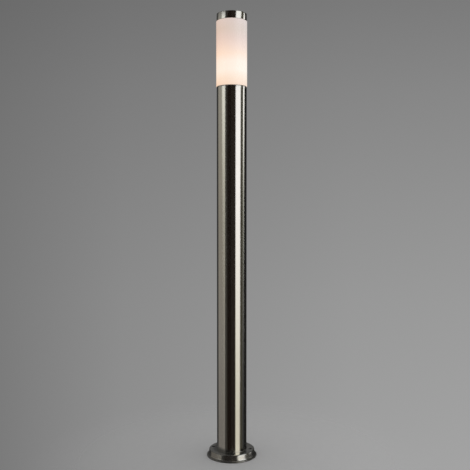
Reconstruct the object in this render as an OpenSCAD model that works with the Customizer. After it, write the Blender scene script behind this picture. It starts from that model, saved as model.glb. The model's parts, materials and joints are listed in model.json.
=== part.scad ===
// Bollard light: a tall round stainless post on a flared foot, with an opal
// glass head under a steel cap. Millimetres, +Z up, origin at the centre of
// the foot's underside. The two fixing holes lie on the X axis and the head's
// clamping screw faces +Y.

/* [Overall] */
// Height from the ground to the top of the cap
total_h = 1126; // [500:1:1600]

/* [Post] */
// Outside diameter of the post tube
tube_d = 76; // [75:0.5:78]
// Wall of the post tube
tube_wall = 1.5; // [1.3:0.1:1.6]

/* [Foot] */
// Diameter of the foot's flared rim
base_d = 128; // [126:1:150]
// Diameter of the foot's upright wall, near its top
plate_d = 116; // [114:1:118]
// Height of the foot's top face above the ground
base_h = 18; // [17:0.5:24]
// Sheet thickness of the pressed foot
base_wall = 1.5; // [1.2:0.1:1.8]
// Radius rolled round the edge of the foot's top face
base_edge_r = 3; // [2.2:0.1:3.4]
// Distance between the centres of the two fixing holes
bolt_pcd = 96; // [92:1:98]
// Diameter of each fixing hole
bolt_hole_d = 8; // [5:0.1:8.2]
// Thickness of the rubber ring under the foot
foot_gasket_t = 1.2; // [0.8:0.1:2]

/* [Head] */
// Outside diameter of the opal cylinder
glass_d = 78; // [77.6:0.1:79]
// Wall of the opal cylinder
glass_wall = 3; // [2.6:0.1:3.2]
// Length of the opal cylinder
glass_h = 163; // [140:1:260]
// Shadow gap between post and opal cylinder
joint_gap = 1.8; // [1.6:0.1:3]
// Height of the cap's skirt
cap_h = 19; // [18:0.5:30]
// Outside diameter of the cap
cap_d = 76.6; // [76:0.1:77.4]
// Sheet thickness of the cap
cap_wall = 1.2; // [1:0.1:1.5]

/* [Lamp] */
// Largest diameter of the lamp
lamp_d = 58; // [50:1:60]
// Length of the lamp from its contact to its crown
lamp_l = 108; // [100:1:112]
// Height of the lamp's contact below the top of the post
lamp_drop = 29; // [27:0.5:31]

/* [Supply] */
// Bore of the gland's rubber seal, which takes the supply cable
cable_bore_d = 10.6; // [8:0.1:11]
// Insulated diameter of the internal wires
wire_d = 2.4; // [2:0.1:2.5]

/* [Hidden] */
$fn = 96;
slack = 0.1;                      // radial clearance between nested parts
plate_t = 2;                      // thickness of each carrier ring and plate
post_r = tube_d / 2;
post_in_r = post_r - tube_wall;
glass_r = glass_d / 2;
glass_in_r = glass_r - glass_wall;
cap_r = cap_d / 2;
lamp_r = lamp_d / 2;
wire_r = wire_d / 2;
neck_r = 33.2;                    // collar below the post's rim, outside
neck_in_r = 31.2;                 // collar bore, clears the lamp

// heights, from the top down
z_cap_in = total_h - cap_wall;    // inner face of the cap's top
z_glass_top = total_h - cap_h;
z_glass = z_glass_top - glass_h;  // bottom of the opal cylinder
z_rim = z_glass - joint_gap;      // top of the post
z_clamp = z_rim - 12;             // clamping screw
z_neck = z_rim - 22;              // lower end of the collar
z_lamp = z_rim - lamp_drop;       // lamp's contact
z_holder = z_lamp - 21;           // underside of the lampholder
z_plate = z_holder - 4;           // underside of the holder plate
z_upper = z_plate - plate_t;      // underside of the upper ring
z_entry = 42;                     // underside of the entry plate
z_lower = z_entry + plate_t;      // underside of the lower ring

// colours shared by several pieces
satin_steel = [0.62, 0.61, 0.58];
ring_steel = [0.66, 0.67, 0.68];
plate_steel = [0.7, 0.71, 0.72];
screw_steel = [0.75, 0.75, 0.75];
brass = [0.8, 0.66, 0.35];
contact_brass = [0.82, 0.7, 0.4];
gland_black = [0.1, 0.1, 0.1];
pale_rubber = [0.85, 0.85, 0.83];
white_plastic = [0.93, 0.93, 0.92];

// ---- shared shapes -------------------------------------------------------

// points on an arc, between two angles
function arc(x, z, radius, from, to, steps = 10) =
  [for (i = [0:steps])
    let (angle = from + (to - from) * i / steps)
    [x + radius * cos(angle), z + radius * sin(angle)]];

// a ring with a small chamfer on its four edges
module ring(outer_r, inner_r, z0, z1, chamfer = 0.2)
  rotate_extrude() polygon([
    [inner_r + chamfer, z0], [outer_r - chamfer, z0],
    [outer_r, z0 + chamfer], [outer_r, z1 - chamfer],
    [outer_r - chamfer, z1], [inner_r + chamfer, z1],
    [inner_r, z1 - chamfer], [inner_r, z0 + chamfer]]);

// a disc with a small chamfer on its two edges
module disc(radius, z0, z1, chamfer = 0.2)
  rotate_extrude() polygon([
    [0, z0], [radius - chamfer, z0], [radius, z0 + chamfer],
    [radius, z1 - chamfer], [radius - chamfer, z1], [0, z1]]);

// a hexagonal prism, sized across its flats
module hex(flats, h) cylinder(r = flats / 2 / cos(30), h = h, $fn = 6);

// turns +Z to face +X
module facing_x(place) translate(place) rotate([0, 90, 0]) children();

// turns +Z to face +Y, on the clamping screw's axis
module on_clamp_axis(y = 0) translate([0, y, z_clamp]) rotate([-90, 0, 0]) children();

// turns +Z to face down
module head_down(place) translate(place) rotate([180, 0, 0]) children();

// a cutter that passes right through a plate whose underside is at z
module plate_hole(d, z, x = 0, y = 0)
  translate([x, y, z - 1]) cylinder(d = d, h = plate_t + 2);

// a pan-head machine screw with a cross recess: head sits on z = 0 and points up,
// shank points down
module pan_screw(d, head_d, head_h, shank) {
  tip = 0.3;
  round_r = head_h * 0.6;
  slot_l = head_d * 0.56;
  slot_w = head_d * 0.1;
  difference() {
    rotate_extrude() polygon(concat(
      [[0, -shank], [d / 2 - tip, -shank], [d / 2, tip - shank], [d / 2, 0], [head_d / 2, 0]],
      arc(head_d / 2 - round_r, head_h - round_r, round_r, 0, 90, 6),
      [[0, head_h]]));
    for (angle = [0, 90])
      rotate(angle)
        translate([-slot_l / 2, -slot_w / 2, head_h * 0.45])
          cube([slot_l, slot_w, head_h]);
  }
}

// the direction of travel at point i, no longer than the shorter step beside it
function heading(path, i) =
  let (
    before = path[max(i - 1, 0)],
    after = path[min(i + 1, len(path) - 1)],
    span = after - before,
    steps = [for (near = [before, after])
      if (norm(near - path[i]) > 0) norm(near - path[i])]
  ) span / norm(span) * min(steps);

// a point on the smooth curve between two ends with given headings, t from 0 to 1
function bend(start, start_dir, end, end_dir, t) =
  start * (2 * t * t * t - 3 * t * t + 1) + start_dir * (t * t * t - 2 * t * t + t)
  + end * (3 * t * t - 2 * t * t * t) + end_dir * (t * t * t - t * t);

// a round wire along the smooth curve through a list of points
module wire(path, steps = 3, sides = 10) {
  last = len(path) - 1;
  line = [
    for (i = [0:last - 1], k = [0:steps - 1])
      bend(path[i], heading(path, i), path[i + 1], heading(path, i + 1), k / steps),
    path[last]];
  count = len(line);
  skin = [
    for (i = [0:count - 1])
      let (
        along = line[min(i + 1, count - 1)] - line[max(i - 1, 0)],
        tangent = along / norm(along),
        across = cross(tangent, [0.12, 1, 0]),
        side = across / norm(across),
        other = cross(tangent, side)
      )
      for (s = [0:sides - 1])
        line[i] + wire_r * (side * cos(360 * s / sides) + other * sin(360 * s / sides))];
  // two triangles for each facet between neighbouring sections
  facets = [
    for (i = [0:count - 2], s = [0:sides - 1])
      let (a = i * sides + s, b = i * sides + (s + 1) % sides)
      each [[a, a + sides, b], [b, a + sides, b + sides]]];
  polyhedron(points = skin, faces = concat(
    [[for (s = [0:sides - 1]) s]],
    [[for (s = [sides - 1:-1:0]) (count - 1) * sides + s]],
    facets));
}

// ---- foot ----------------------------------------------------------------

module fixing_holes(z, h)
  for (side = [-1, 1])
    translate([side * bolt_pcd / 2, 0, z]) cylinder(d = bolt_hole_d, h = h);

module base_flange() color(satin_steel) {
  top_r = plate_d / 2;
  hole_r = post_r + slack;
  flare_r = 4;                    // inside radius of the flare
  flare_x = top_r + 0.9 + flare_r; // the upright wall leans out a little
  flare_z = foot_gasket_t + base_wall + flare_r;
  edge_x = top_r - base_edge_r;
  edge_z = base_h - base_edge_r;
  difference() {
    rotate_extrude($fn = 180) polygon(concat(
      // low neck round the post, then out along the top face
      [[hole_r, base_h - base_wall], [hole_r, base_h + 0.9]],
      arc(hole_r + 0.25, base_h + 0.65, 0.25, 90, 0, 4),
      arc(hole_r + 1.1, base_h + 0.6, 0.6, 180, 270, 6),
      arc(edge_x, edge_z, base_edge_r, 90, 3),
      arc(flare_x, flare_z, flare_r, 180, 270),
      // round the rim and back up the inside
      arc(base_d / 2 - base_wall / 2, foot_gasket_t + base_wall / 2, base_wall / 2, 90, -90, 8),
      arc(flare_x, flare_z, flare_r + base_wall, 270, 180),
      arc(edge_x, edge_z, base_edge_r - base_wall, 3, 90, 8)));
    fixing_holes(z = base_h - base_wall - 1, h = base_wall + 2);
  }
}

module foot_gasket() color([0.06, 0.06, 0.06])
  ring(base_d / 2 - 0.9, base_d / 2 - 6.2, 0, foot_gasket_t, 0.15);

module backing_plate() color([0.55, 0.56, 0.57]) {
  z_top = base_h - base_wall;
  difference() {
    ring(plate_d / 2 - 4.2, post_r + 0.3, z_top - 3, z_top, 0.3);
    fixing_holes(z = 0, h = base_h + 5);
  }
}

// ---- post ----------------------------------------------------------------

z_post = 6;                       // lower end of the post tube
carrier_screw_r = 30;             // distance of the carrier screws from the axis
carrier_clear_d = 4.3;            // clearance hole for a carrier screw

module post_tube() color(satin_steel)
  difference() {
    rotate_extrude($fn = 180) polygon([
      [post_in_r + 0.2, z_post], [post_r - 0.3, z_post], [post_r, z_post + 0.3],
      [post_r, z_rim - 0.4], [post_r - 0.4, z_rim], [post_in_r + 0.3, z_rim],
      [post_in_r, z_rim - 0.3], [post_in_r, z_post + 0.2]]);
    on_clamp_axis() cylinder(d = 5.4, h = post_r + 5);
  }

// a ring welded inside the post, tapped for two M4 screws
module carrier_ring(z, angle)
  difference() {
    ring(post_in_r - slack, 26, z, z + plate_t);
    rotate(angle)
      for (side = [-1, 1]) plate_hole(4.1, z, x = side * carrier_screw_r);
  }

module lower_ring() color(ring_steel) carrier_ring(z_lower, 90);

module upper_ring() color(ring_steel) carrier_ring(z_upper, 0);

// ---- supply entry --------------------------------------------------------

bracket_screw_x = 21.5;           // screws through the bracket's foot
bracket_screw_y = 3.5;
m3_clear_d = 3.2;

module entry_plate() color(plate_steel)
  difference() {
    disc(35, z_entry, z_entry + plate_t);
    plate_hole(20.4, z_entry);
    for (side = [-1, 1]) {
      plate_hole(carrier_clear_d, z_entry, y = side * carrier_screw_r);
      plate_hole(m3_clear_d, z_entry, x = bracket_screw_x, y = side * bracket_screw_y);
    }
  }

module entry_screws() color(screw_steel)
  for (side = [-1, 1])
    head_down([0, side * carrier_screw_r, z_entry])
      pan_screw(d = 4, head_d = 7.5, head_h = 2.8, shank = 6);

gland_flats = 24;                 // hexagon of the gland's body and locknut
gland_thread_r = 10;
z_gland_hex = z_entry - 5;        // underside of the body's hexagon
z_gland_end = z_entry - 14;       // lower end of the body
z_cap_nut = z_entry - 19.5;       // underside of the cap nut

module gland_body() color(gland_black)
  difference() {
    union() {
      translate([0, 0, z_gland_hex]) hex(gland_flats, 5);
      rotate_extrude() polygon([
        [0, z_gland_end], [10, z_gland_end], [10.4, z_gland_end + 0.4], [10.4, z_gland_hex],
        [gland_thread_r, z_gland_hex], [gland_thread_r, z_entry + 8.4],
        [gland_thread_r - 0.4, z_entry + 8.8], [0, z_entry + 8.8]]);
    }
    translate([0, 0, z_entry - 20]) cylinder(r = 6.6, h = 40);
    // wider pocket for the seal
    translate([0, 0, z_gland_end - 1]) cylinder(r = 8.2, h = 9);
  }

module gland_seal() color([0.2, 0.2, 0.21])
  ring(8.1, cable_bore_d / 2, z_entry - 15.4, z_entry - 6.1, 0.3);

module gland_cap_nut() color(gland_black)
  difference() {
    intersection() {
      translate([0, 0, z_cap_nut]) hex(25, 13);
      // rounds the hexagon's corners, most of all at the lower end
      rotate_extrude() polygon([
        [0, z_cap_nut], [9.5, z_cap_nut], [12.2, z_cap_nut + 2], [14, z_cap_nut + 6.5],
        [14.6, z_cap_nut + 11.5], [14, z_cap_nut + 13], [0, z_cap_nut + 13]]);
    }
    translate([0, 0, z_cap_nut + 4]) cylinder(r = 10.5, h = 12);
    translate([0, 0, z_cap_nut - 1.5]) cylinder(r = 7.2, h = 8);
  }

module gland_locknut() color(gland_black)
  difference() {
    translate([0, 0, z_entry + plate_t]) hex(gland_flats, 5);
    translate([0, 0, z_entry + plate_t - 1]) cylinder(r = gland_thread_r + 0.1, h = 8);
  }

// ---- terminals: three poles side by side along Y -------------------------

bracket_x = 16;                   // face of the bracket that carries the block
bracket_t = 1.5;
pole_x = 8;                       // axis of each pole's upright tube
pole_pitch = 10;
pole_ys = [-pole_pitch, 0, pole_pitch];
z_block = z_lower + 22;
block_h = 22;
z_block_mid = z_block + block_h / 2;
wire_screw_zs = [z_block_mid - 6, z_block_mid + 6];

module terminal_bracket() color(plate_steel)
  difference() {
    union() {
      translate([bracket_x, -15, z_lower]) cube([bracket_t, 30, 52]);
      translate([bracket_x, -6, z_lower]) cube([9, 12, bracket_t]);
    }
    for (side = [-1, 1]) {
      plate_hole(m3_clear_d, z_lower, x = bracket_screw_x, y = side * bracket_screw_y);
      facing_x([10, side * pole_pitch / 2, z_block_mid]) cylinder(d = m3_clear_d, h = 10);
      // notch at each lower corner
      translate([bracket_x - 1, side * 11 - 5, z_lower - 1]) cube([4, 10, 14]);
    }
  }

module bracket_screws() color(screw_steel)
  for (side = [-1, 1]) {
    translate([bracket_screw_x, side * bracket_screw_y, z_lower + bracket_t])
      pan_screw(d = 3, head_d = 5.4, head_h = 2, shank = 5.5);
    facing_x([bracket_x + bracket_t, side * pole_pitch / 2, z_block_mid])
      pan_screw(d = 3, head_d = 5.4, head_h = 2, shank = 7);
  }

// wires enter from above and below
module terminal_block() color([0.93, 0.92, 0.88]) {
  pole_w = 9.2;
  difference() {
    union() for (y = pole_ys) {
      translate([2, y - pole_w / 2, z_block]) cube([14, pole_w, block_h]);
      // thicker web that joins neighbouring poles
      translate([4, y - pole_pitch / 2, z_block + 5]) cube([12, pole_pitch, 12]);
      for (z = wire_screw_zs) facing_x([0.5, y, z]) cylinder(d = 7.4, h = 6);
    }
    for (y = pole_ys) {
      translate([pole_x, y, z_block - 1]) cylinder(r = 2.7, h = block_h + 2);
      for (z = wire_screw_zs) facing_x([-1, y, z]) cylinder(d = 4.2, h = 9);
    }
    for (side = [-1, 1])
      facing_x([10.2, side * pole_pitch / 2, z_block_mid]) cylinder(d = 3.1, h = 7);
  }
}

module terminal_inserts() color(brass)
  for (y = pole_ys) difference() {
    translate([pole_x, y, z_block + 1]) cylinder(r = 2.6, h = block_h - 2);
    translate([pole_x, y, z_block]) cylinder(r = 1.55, h = block_h);
    for (z = wire_screw_zs) facing_x([4, y, z]) cylinder(d = 2.9, h = 4);
  }

module terminal_screws() color(screw_steel)
  for (y = pole_ys, z = wire_screw_zs)
    facing_x([2.2, y, z])
      difference() {
        union() {
          cylinder(d = 3.9, h = 1.8);
          cylinder(d = 2.7, h = 4.35);
        }
        translate([-0.35, -2.5, -1]) cube([0.7, 5, 1.9]);
      }

// ---- wires ---------------------------------------------------------------

z_wire = z_lower + 40.6;          // where the wires start, inside the poles
z_wire_mid = (z_lower + z_plate) / 2;
z_holder_wire = z_holder + 9;     // wires and terminals inside the lampholder
lug_y = -22;                      // axis of the lug's barrel
earth_screw_y = -15;
lug_t = 0.8;

// the live and neutral wires rise through the hollow nipple to the lampholder's terminals;
// side is the sign of the pole's y and of the terminal's x
module riser(side) {
  x = side * 1.5;
  wire([
    [pole_x, side * pole_pitch, z_wire],
    [pole_x, side * pole_pitch, z_lower + 50],
    [7, side * 8.6, z_lower + 58],
    [x + 1.5, side * 2, z_lower + 76],
    [x, 0, z_lower + 90],
    [x, 0, z_wire_mid],
    [x, 0, z_plate - 30],
    [x, 0, z_holder - 1],
    [x, 0, z_holder + 3.6],
    [x + side * 1.5, 0, z_holder + 7.2],
    [x + side * 4.8, 0, z_holder_wire],
    [x + side * 9.5, 0, z_holder_wire]]);
}

module wire_live() color([0.35, 0.18, 0.08]) riser(1);

module wire_neutral() color([0.08, 0.25, 0.6]) riser(-1);

// the earth wire ends in a lug under the holder plate
module wire_earth() color([0.35, 0.6, 0.15])
  wire([
    [pole_x, 0, z_wire],
    [pole_x, 0, z_lower + 52],
    [7, -1.4, z_lower + 62],
    [2.5, -6.5, z_lower + 82],
    [0, -8.5, z_lower + 98],
    [0, -8.5, z_wire_mid],
    [0, -8.5, z_plate - 44],
    [0, -11, z_plate - 34],
    [0, -19.5, z_plate - 21],
    [0, lug_y, z_plate - 13],
    [0, lug_y, z_plate - 8],
    [0, lug_y, z_plate - 1.4]]);

module earth_lug() color(brass)
  difference() {
    union() {
      translate([0, earth_screw_y, z_plate - lug_t]) cylinder(r = 3.3, h = lug_t);
      translate([-1.7, lug_y, z_plate - lug_t]) cube([3.4, 5, lug_t]);
      translate([0, lug_y, z_plate - 7]) cylinder(r = 1.9, h = 7);
    }
    translate([0, earth_screw_y, z_plate - 2]) cylinder(r = 1.6, h = 3);
    translate([0, lug_y, z_plate - 8]) cylinder(r = wire_r + 0.05, h = 7);
  }

module earth_screw() color([0.3, 0.6, 0.25])
  head_down([0, earth_screw_y, z_plate - lug_t])
    pan_screw(d = 3, head_d = 5.6, head_h = 2.1, shank = 4.2);

// ---- lampholder ----------------------------------------------------------

nipple_r = 5;
z_floor = z_holder + 17;          // floor of the lampholder's socket
tongue_w = 5;                     // centre contact's strip
tongue_t = 0.6;

module holder_plate() color(plate_steel)
  difference() {
    disc(33.5, z_plate, z_plate + plate_t);
    plate_hole(2 * nipple_r + 0.2, z_plate);
    for (side = [-1, 1]) {
      plate_hole(carrier_clear_d, z_plate, x = side * carrier_screw_r);
      plate_hole(7, z_plate, x = side * 12, y = 22);
    }
    plate_hole(3.1, z_plate, y = earth_screw_y);
  }

module plate_screws() color(screw_steel)
  for (side = [-1, 1])
    translate([side * carrier_screw_r, 0, z_plate + plate_t])
      pan_screw(d = 4, head_d = 6.4, head_h = 2.6, shank = 6);

module holder_nipple() color(brass)
  ring(nipple_r, 3.6, z_plate - 7, z_holder + 5, 0.3);

module nipple_nut() color(brass)
  difference() {
    translate([0, 0, z_plate - 4]) hex(14, 4);
    translate([0, 0, z_plate - 5]) cylinder(r = nipple_r + 0.05, h = 6);
  }

module nipple_washer() color(screw_steel)
  ring(9.5, nipple_r + 0.1, z_plate + plate_t, z_holder);

module lampholder_body() color([0.94, 0.93, 0.9])
  difference() {
    rotate_extrude($fn = 120) polygon(concat(
      [[5.2, z_holder], [19, z_holder]],
      arc(21.5, z_holder + 1.5, 1.5, -90, 0, 5),
      arc(21.5, z_holder + 12, 1.5, 0, 60, 4),
      [[20.2, z_holder + 15], [19.4, z_holder + 18], [19.4, z_holder + 40]],
      // rounded lip, then down the socket's wall
      arc(18.6, z_holder + 46.2, 0.8, 0, 90, 4),
      arc(15.1, z_holder + 46.2, 0.8, 90, 180, 4),
      [[14.3, z_floor], [6.5, z_floor], [6.5, z_holder + 13], [4.4, z_holder + 13],
       [4.4, z_holder + 5.5], [5.2, z_holder + 5.5]]));
    // pockets for the two terminals, open to the side
    for (side = [-1, 1])
      translate([side * 13.5, 0, z_holder_wire]) cube([21, 8, 6.4], center = true);
  }

module lampholder_shell() color(contact_brass)
  ring(14.2, 13.45, z_holder + 18.5, z_holder + 44, 0.15);

// a strip folded up from the floor and back over the axis, with a round nub on top
module centre_contact() color(contact_brass) {
  translate([-11, -tongue_w / 2, z_floor]) {
    cube([10, tongue_w, tongue_t]);
    cube([tongue_t, tongue_w, 3.4]);
    translate([0, 0, 2.8]) cube([14, tongue_w, tongue_t]);
  }
  translate([0, 0, z_floor + 3.2]) cylinder(r = 2, h = 0.75);
}

module lampholder_terminals() color(brass)
  for (side = [-1, 1])
    translate([side * 12, 0, z_holder_wire]) difference() {
      union() {
        translate([-4, -3.4, -2.9]) cube([8, 6.8, 5.8]);
        // screw head on the outer end
        translate([side * 4, 0, 0]) rotate([0, side * 90, 0]) cylinder(d = 4.4, h = 2.2);
      }
      // the head's slot, and the wire's hole
      translate([side * 6.2, 0, 0]) cube([1.4, 5, 0.8], center = true);
      translate([side * -5, 0, 0]) rotate([0, side * 90, 0]) cylinder(r = wire_r + 0.1, h = 5);
    }

// ---- clamping screw ------------------------------------------------------

module clamp_boss() color(ring_steel) {
  boss_y = 34;
  on_clamp_axis() difference() {
    translate([0, 0, boss_y]) cylinder(d = 8, h = post_in_r - boss_y - 0.3);
    translate([0, 0, boss_y - 4]) cylinder(d = 5.1, h = 10);
  }
}

module clamp_screw_tip() color([0.95, 0.95, 0.92])
  on_clamp_axis(neck_r + 0.05) {
    cylinder(d1 = 2.6, d2 = 3, h = 0.5);
    translate([0, 0, 0.5]) cylinder(d = 3, h = 0.8);
  }

module clamp_screw() color([0.5, 0.5, 0.5])
  on_clamp_axis(neck_r + 0.9) difference() {
    rotate_extrude() polygon([[0, 0], [2.2, 0], [2.5, 0.3], [2.5, 3.3], [2.2, 3.6], [0, 3.6]]);
    // recess for the tip, and the hexagon socket
    translate([0, 0, -0.1]) cylinder(d = 3.02, h = 0.6);
    translate([0, 0, 1.8]) hex(2.5, 3);
  }

// ---- lamp ----------------------------------------------------------------

dome_cut = 25;                    // angle below its equator where the dome meets the housing
z_dome = z_lamp + lamp_l - lamp_r; // centre of the dome
z_join = z_dome - lamp_r * sin(dome_cut);
join_r = lamp_r * cos(dome_cut);

module lamp_contact() color([0.75, 0.73, 0.68])
  rotate_extrude() polygon(concat(
    [[0, z_lamp], [3.6, z_lamp]],
    arc(3.6, z_lamp + 1, 1, -90, 0, 4),
    [[4.6, z_lamp + 1.6], [0, z_lamp + 1.6]]));

module lamp_insulator() color([0.05, 0.05, 0.06])
  rotate_extrude() polygon([
    [0, z_lamp + 1.6], [5.4, z_lamp + 1.6], [11.2, z_lamp + 4.6],
    [12, z_lamp + 5.4], [12, z_lamp + 6.4], [0, z_lamp + 6.4]]);

module lamp_screw_shell() color([0.78, 0.77, 0.74])
  ring(12.95, 12.25, z_lamp + 5, z_lamp + 26, 0.25);

module lamp_housing() color(white_plastic) {
  stem_r = 12.15;                 // inside the screw shell
  waist_r = 13.7;                 // where the outer flare starts
  bore_r = 10.5;
  seat_r = join_r - 3.6;          // inner edge of the board's seat
  z_seat = z_join - 4;
  z_flare = z_lamp + 28;
  rotate_extrude($fn = 120) polygon(concat(
    [[0, z_lamp + 7], [stem_r, z_lamp + 7], [stem_r, z_lamp + 26.1],
     [13.4, z_lamp + 26.1], [waist_r, z_lamp + 27.5]],
    // outer flare, upwards
    [for (i = [0:12]) let (t = i / 12)
      [waist_r + (join_r - waist_r) * (1 - pow(1 - t, 1.6)),
       z_flare + (z_join - 0.1 - z_flare) * t]],
    [[join_r - 1.6, z_join - 0.1], [join_r - 1.6, z_seat], [seat_r, z_seat]],
    // inner flare, downwards
    [for (i = [1:8]) let (t = i / 8)
      [seat_r - (seat_r - bore_r) * (1 - pow(1 - t, 0.62)),
       z_seat - (z_seat - z_lamp - 30) * t]],
    [[bore_r, z_flare], [bore_r, z_lamp + 9], [0, z_lamp + 9]]));
}

module lamp_led_board() color([0.9, 0.9, 0.88]) {
  z_board_top = z_join - 2.35;
  chip = 2.8;
  disc(join_r - 1.8, z_join - 3.95, z_board_top, 0.15);
  for (angle = [0:30:330])
    rotate(angle)
      translate([join_r - 9.4, -chip / 2, z_board_top]) cube([chip, chip, 0.8]);
}

// the larger part of a ball, cut where it meets the housing
module lamp_dome() color([0.97, 0.96, 0.93])
  rotate_extrude($fn = 120) polygon(concat(
    arc(0, z_dome, lamp_r, -dome_cut, 90, 24),
    arc(0, z_dome, lamp_r - 1.2, 90, 1 - dome_cut, 24)));

// ---- head ----------------------------------------------------------------

head_gasket_t = 0.6;
z_plug = z_glass_top - 13;        // underside of the plug disc
plug_bead_r = 0.6;

module head_gasket() color([0.12, 0.12, 0.12])
  ring(post_r - 0.4, post_in_r, z_rim, z_rim + head_gasket_t, 0.1);

module head_collar() color([0.75, 0.75, 0.76]) {
  fit_r = post_in_r - slack;
  z_seat = z_rim + head_gasket_t;
  rotate_extrude($fn = 160) polygon([
    [neck_in_r, z_neck + 0.4], [neck_in_r + 0.4, z_neck],
    [neck_r - 0.5, z_neck], [neck_r, z_neck + 0.5],
    [neck_r, z_rim - 7.5], [neck_r + 0.8, z_rim - 7],
    [fit_r - 0.5, z_rim - 7], [fit_r, z_rim - 6.5],
    [fit_r, z_seat], [post_r - 0.5, z_seat], [post_r - 0.5, z_glass - 0.5],
    // spigot inside the opal cylinder
    [glass_in_r - 0.75, z_glass - 0.5], [glass_in_r - 0.75, z_glass + 8],
    [glass_in_r - 1.2, z_glass + 8.5], [glass_in_r - 2.4, z_glass + 8.5],
    [glass_in_r - 2.9, z_glass + 8], [glass_in_r - 2.9, z_glass + 1],
    [neck_in_r, z_glass - 1]]);
}

module glass_gasket() color(pale_rubber)
  rotate_extrude() polygon([
    [glass_in_r - 0.7, z_glass - 0.45], [glass_r - 1, z_glass - 0.45],
    [glass_r - 1, z_glass - 0.02], [glass_in_r - 0.05, z_glass - 0.02],
    [glass_in_r - 0.05, z_glass + 6], [glass_in_r - 0.7, z_glass + 6]]);

module diffuser() color([0.96, 0.93, 0.88]) {
  edge_r = 0.6;
  rotate_extrude($fn = 180) polygon(concat(
    arc(glass_in_r + edge_r, z_glass + edge_r, edge_r, 180, 270, 4),
    arc(glass_r - edge_r, z_glass + edge_r, edge_r, -90, 0, 4),
    arc(glass_r - edge_r, z_glass_top - edge_r, edge_r, 0, 90, 4),
    arc(glass_in_r + edge_r, z_glass_top - edge_r, edge_r, 90, 180, 4)));
}

module cap_gasket() color(pale_rubber)
  ring(cap_r - 0.2, glass_in_r + 0.4, z_glass_top, z_glass_top + 0.5, 0.1);

module plug_ring() color(pale_rubber)
  rotate_extrude() polygon(concat(
    [[glass_in_r - 3.5, z_glass_top - 10.9], [glass_in_r - 0.6, z_glass_top - 10.9]],
    arc(glass_in_r - 0.65, z_glass_top - 7, plug_bead_r, -60, 60, 6),
    [[glass_in_r - 0.6, z_glass_top - 3.1], [glass_in_r - 3.5, z_glass_top - 3.1]]));

module plug_disc() color(white_plastic)
  difference() {
    rotate_extrude() polygon([
      [0, z_plug], [glass_in_r - 1.5, z_plug], [glass_in_r - 1, z_plug + 0.5],
      [glass_in_r - 1, z_plug + 2], [glass_in_r - 3.6, z_plug + 2],
      [glass_in_r - 3.6, z_plug + 4], [glass_in_r - 4.6, z_plug + 5],
      [glass_in_r - 5.2, z_plug + 5], [glass_in_r - 5.2, z_plug + 2], [0, z_plug + 2]]);
    translate([0, 0, z_plug - 1]) cylinder(d = 5.3, h = 5);
  }

module plug_screw() color(screw_steel)
  head_down([0, 0, z_plug]) pan_screw(d = 5, head_d = 9.5, head_h = 3.4, shank = 20);

module cap_spider() color([0.7, 0.7, 0.71]) {
  hub_r = 7;
  z_top = z_cap_in - 0.02;
  difference() {
    rotate_extrude() polygon([
      [0, z_glass_top - 8], [hub_r, z_glass_top - 8], [hub_r, z_glass_top - 3],
      [glass_in_r - 1, z_glass_top - 3], [glass_in_r - 0.8, z_glass_top - 2.8],
      [glass_in_r - 0.8, z_glass_top - 1], [8, z_glass_top - 0.5], [hub_r, z_glass_top + 0.5],
      [hub_r, z_cap_in - 1.5], [10, z_top], [0, z_top]]);
    translate([0, 0, z_glass_top - 9]) cylinder(d = 5.1, h = 18);
  }
}

module top_cap() color(satin_steel) {
  z_skirt = z_glass_top + 0.5;
  edge_r = 1.4;
  skirt_in_r = cap_r - cap_wall;
  rotate_extrude($fn = 180) polygon(concat(
    [[skirt_in_r, z_skirt + 0.2], [skirt_in_r + 0.2, z_skirt],
     [cap_r - 0.3, z_skirt], [cap_r, z_skirt + 0.3]],
    arc(cap_r - edge_r, total_h - edge_r, edge_r, 0, 90, 8),
    [[0, total_h], [0, z_cap_in]],
    arc(cap_r - edge_r, total_h - edge_r, edge_r - cap_wall, 90, 0, 4)));
}

// ---- output --------------------------------------------------------------

base_flange();
foot_gasket();
backing_plate();
post_tube();
lower_ring();
entry_plate();
entry_screws();
gland_body();
gland_seal();
gland_cap_nut();
gland_locknut();
terminal_bracket();
bracket_screws();
terminal_block();
terminal_inserts();
terminal_screws();
wire_live();
wire_neutral();
wire_earth();
earth_lug();
earth_screw();
upper_ring();
holder_plate();
plate_screws();
holder_nipple();
nipple_nut();
nipple_washer();
lampholder_body();
lampholder_shell();
centre_contact();
lampholder_terminals();
clamp_boss();
clamp_screw_tip();
clamp_screw();
lamp_contact();
lamp_insulator();
lamp_screw_shell();
lamp_housing();
lamp_led_board();
lamp_dome();
head_gasket();
head_collar();
glass_gasket();
diffuser();
cap_gasket();
plug_ring();
plug_disc();
plug_screw();
cap_spider();
top_cap();
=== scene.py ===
# Post light: a steel tube on a pressed foot, with a lift-off head (collar, opal cylinder, cap)
# round an E27 lamp in its holder. The axis is Z and the foot's gasket lies on z = 0. The camera
# looks from -Y, turned 10 degrees towards +X. Lengths are in mm, turned to metres by MM.
import json
import math

import bmesh
import bpy
from mathutils import Matrix, Vector


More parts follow.
